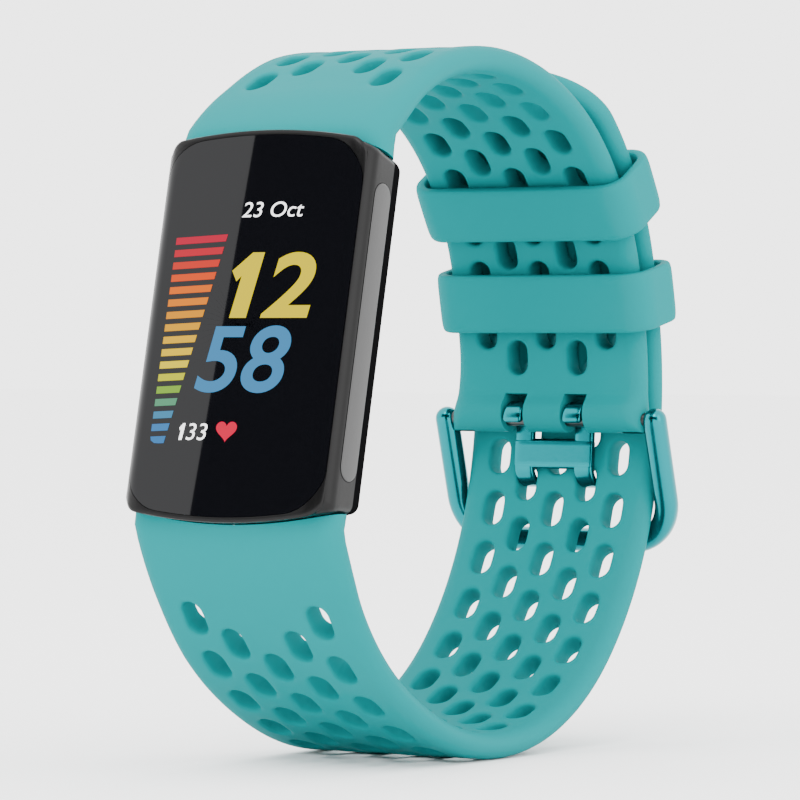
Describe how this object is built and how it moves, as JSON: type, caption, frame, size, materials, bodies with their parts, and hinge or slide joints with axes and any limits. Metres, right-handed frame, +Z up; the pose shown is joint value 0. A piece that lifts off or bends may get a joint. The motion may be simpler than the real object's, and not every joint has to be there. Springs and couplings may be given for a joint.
{
  "type": "fitness tracker band",
  "caption": "Slim fitness tracker with a tall curved-corner screen on a perforated soft band, buckled into a wrist loop.",
  "frame": {"origin": "middle of the bottom of the bounding box of the buckled loop", "axes": "+Z up the loop, +X across the band towards the wearer-facing screen's right edge as seen from the front, -Y out through the screen"},
  "size_m": [0.0268, 0.0643, 0.0674],
  "materials": {
    "silicone": "smooth matt moulded silicone, turquoise",
    "teal_metal": "glossy turquoise-plated die-cast metal",
    "dark_metal": "graphite anodised aluminium, satin",
    "steel": "satin stainless steel",
    "screen_glass": "polished black cover glass with dark display behind it",
    "black_plastic": "fine matt black plastic",
    "teal_plastic": "moulded turquoise plastic",
    "board": "green circuit board with solder mask",
    "foil": "battery pouch foil",
    "flex": "amber polyimide ribbon",
    "gold": "gold-plated metal",
    "black_rubber": "black foam rubber"
  },
  "bodies": {
    "band": {"lower_strap": "silicone", "upper_strap": "silicone", "lower_connector": "teal_plastic", "upper_connector": "teal_plastic", "buckle_bar": "steel", "lower_latch_spring": "steel", "upper_latch_spring": "steel"},
    "tracker": {"case_shell": "dark_metal", "cover_glass": "screen_glass", "glass_gasket": "black_rubber", "display_panel": "black_plastic", "display_flex": "flex", "side_sensor_right": "steel", "side_sensor_left": "steel", "chassis": "black_plastic", "battery": "foil", "main_board": "board", "vibration_motor": "steel", "back_seal": "black_rubber", "back_cover": "black_plastic", "sensor_board": "board", "heart_rate_led": "gold", "photodiode_left": "black_plastic", "photodiode_right": "black_plastic", "sensor_window": "screen_glass", "charge_contact_left": "gold", "charge_contact_right": "gold"},
    "buckle_frame": {"buckle_frame": "teal_metal"},
    "buckle_tang": {"buckle_tang": "teal_metal"},
    "keeper_upper": {"keeper_upper": "silicone"},
    "keeper_lower": {"keeper_lower": "silicone"},
    "upper_latch": {"upper_latch": "steel"},
    "lower_latch": {"lower_latch": "steel"}
  },
  "joints": [
    {"name": "tracker_release", "type": "slide", "parent": "band", "child": "tracker", "axis": [0, -0.9763, 0.2164], "range_m": [0, 0.006]},
    {"name": "buckle_frame_hinge", "type": "hinge", "parent": "band", "child": "buckle_frame", "pos_m": [0, 0.02613, 0.03189], "axis": [1, 0, 0], "range_deg": [0, 100]},
    {"name": "buckle_tang_hinge", "type": "hinge", "parent": "band", "child": "buckle_tang", "pos_m": [0, 0.02613, 0.03189], "axis": [1, 0, 0], "range_deg": [-95, 0]},
    {"name": "keeper_upper_slide", "type": "hinge", "parent": "band", "child": "keeper_upper", "pos_m": [0, -0.00093, 0.03963], "axis": [1, 0, 0], "range_deg": [-3.8, 12]},
    {"name": "keeper_lower_slide", "type": "hinge", "parent": "band", "child": "keeper_lower", "pos_m": [0, -0.0279, 0.0321], "axis": [1, 0, 0], "range_deg": [-2.4, 1.9]},
    {"name": "upper_latch_button", "type": "slide", "parent": "band", "child": "upper_latch", "axis": [0, 0.2164, 0.9763], "range_m": [0, 0.0006], "stiffness_N_per_m": 800, "deforming": ["upper_latch_spring"]},
    {"name": "lower_latch_button", "type": "slide", "parent": "band", "child": "lower_latch", "axis": [0, -0.2164, -0.9763], "range_m": [0, 0.0006], "stiffness_N_per_m": 800, "deforming": ["lower_latch_spring"]}
  ]
}
